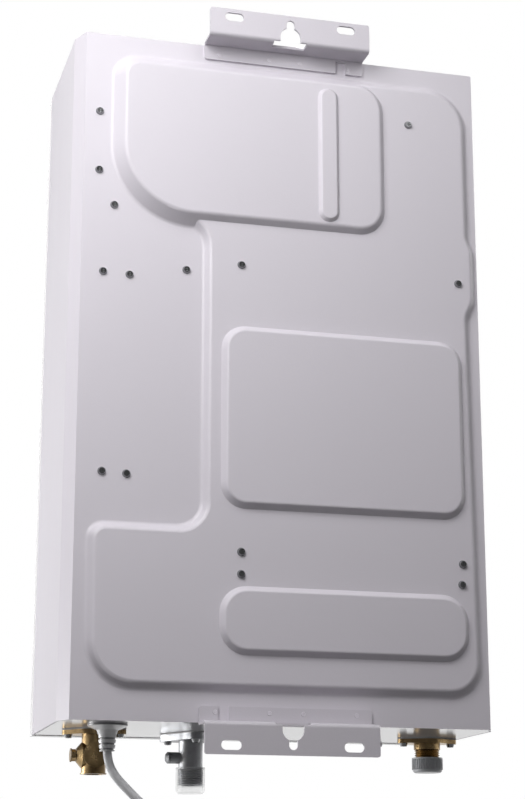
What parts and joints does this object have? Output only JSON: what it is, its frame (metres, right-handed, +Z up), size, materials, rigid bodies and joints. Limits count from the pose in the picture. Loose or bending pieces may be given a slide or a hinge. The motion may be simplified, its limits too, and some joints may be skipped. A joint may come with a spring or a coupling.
{
  "type": "tankless gas water heater",
  "caption": "Wall-hung tankless gas water heater with embossed steel back, wall brackets, underside water and gas connections, flue collar and coiled mains lead.",
  "frame": {"origin": "middle of the top bracket's two slots, on its wall face", "axes": "+X to the right of someone who faces the wall side, the picture's left; +Y towards the wall; +Z up. The front cover faces -Y."},
  "size_m": [0.35, 0.1835, 0.8405],
  "materials": {
    "case_paint": "satin",
    "base_gloss": "gloss",
    "cover_paint": "gloss",
    "zinc": "satin",
    "brass": "satin",
    "die_cast": "matte",
    "copper": "satin",
    "stainless": "satin",
    "clear_cap": "matte",
    "grey_cap": "matte",
    "cord": "matte",
    "gland": "matte",
    "black_plastic": "matte",
    "white_plastic": "satin",
    "circuit_board": "satin",
    "seal": "matte",
    "ceramic": "gloss",
    "window": "gloss",
    "motor": "satin"
  },
  "bodies": {
    "case": {"rear_shell": "case_paint", "top_panel": "case_paint", "bottom_panel": "base_gloss", "front_cover": "cover_paint", "display_window": "window", "display_board": "circuit_board", "top_bracket": "case_paint", "bottom_bracket": "case_paint", "back_screws": "zinc", "panel_screws": "zinc", "flue_collar": "stainless", "flue_hood": "zinc", "fan_housing": "zinc", "fan_motor": "motor", "fan_brackets": "zinc", "exchanger_shell": "copper", "exchanger_fins": "copper", "exchanger_tubes": "copper", "core_brackets": "zinc", "burner_frame": "stainless", "burner_bars": "stainless", "gas_manifold": "die_cast", "gas_nozzles": "brass", "gas_pipe": "copper", "gas_valve_body": "die_cast", "main_solenoid": "black_plastic", "modulator_coil": "black_plastic", "flow_sensor_body": "black_plastic", "cold_pipe": "copper", "hot_pipe": "copper", "outlet_thermistor": "black_plastic", "overheat_cutout": "black_plastic", "spark_igniter": "black_plastic", "electrodes": "ceramic", "controller_box": "white_plastic", "control_board": "circuit_board", "transformer": "motor", "pressure_switch": "black_plastic", "cold_inlet_body": "brass", "gas_inlet_body": "die_cast", "hot_outlet_body": "brass", "gaskets": "seal", "cord_gland": "gland", "power_cord": "cord", "cord_coil": "cord", "cord_tail": "cord", "cord_tie": "black_plastic", "plug": "cord"},
    "fan": {"fan_impeller": "zinc", "motor_shaft": "stainless"},
    "flow_rotor": {"flow_rotor": "white_plastic"},
    "main_plunger": {"main_plunger": "stainless"},
    "modulator_plunger": {"modulator_plunger": "stainless"},
    "power_button": {"power_button": "white_plastic"},
    "up_button": {"up_button": "white_plastic"},
    "down_button": {"down_button": "white_plastic"},
    "gas_cap": {"gas_cap": "clear_cap"},
    "hot_cap": {"hot_cap": "grey_cap"},
    "drain_plug": {"drain_plug": "brass"},
    "gas_test_screw": {"gas_test_screw": "die_cast"}
  },
  "joints": [
    {"name": "fan_spin", "type": "hinge", "parent": "case", "child": "fan", "pos_m": [-0.012, -0.092, -0.104], "axis": [0, 1, 0], "continuous": true},
    {"name": "flow_rotor_spin", "type": "hinge", "parent": "case", "child": "flow_rotor", "pos_m": [0.1355, -0.097, -0.544], "axis": [0, 0, 1], "continuous": true},
    {"name": "main_plunger_pull", "type": "slide", "parent": "case", "child": "main_plunger", "axis": [1, 0, 0], "range_m": [0, 0.003], "stiffness_N_per_m": 150},
    {"name": "modulator_plunger_lift", "type": "slide", "parent": "case", "child": "modulator_plunger", "axis": [0, 0, 1], "range_m": [0, 0.003], "stiffness_N_per_m": 150},
    {"name": "power_button_press", "type": "slide", "parent": "case", "child": "power_button", "axis": [0, 1, 0], "range_m": [0, 0.0012], "stiffness_N_per_m": 300},
    {"name": "up_button_press", "type": "slide", "parent": "case", "child": "up_button", "axis": [0, 1, 0], "range_m": [0, 0.0012], "stiffness_N_per_m": 300},
    {"name": "down_button_press", "type": "slide", "parent": "case", "child": "down_button", "axis": [0, 1, 0], "range_m": [0, 0.0012], "stiffness_N_per_m": 300},
    {"name": "gas_cap_pull", "type": "slide", "parent": "case", "child": "gas_cap", "axis": [0, 0, -1], "range_m": [0, 0.022]},
    {"name": "hot_cap_pull", "type": "slide", "parent": "case", "child": "hot_cap", "axis": [0, 0, -1], "range_m": [0, 0.012]},
    {"name": "drain_plug_turn", "type": "hinge", "parent": "case", "child": "drain_plug", "pos_m": [0.1495, -0.097, -0.5985], "axis": [1, 0, 0], "range_deg": [0, 360]},
    {"name": "gas_test_screw_turn", "type": "hinge", "parent": "case", "child": "gas_test_screw", "pos_m": [0.0702, -0.117, -0.5975], "axis": [1, 0, 0], "range_deg": [0, 360]}
  ]
}
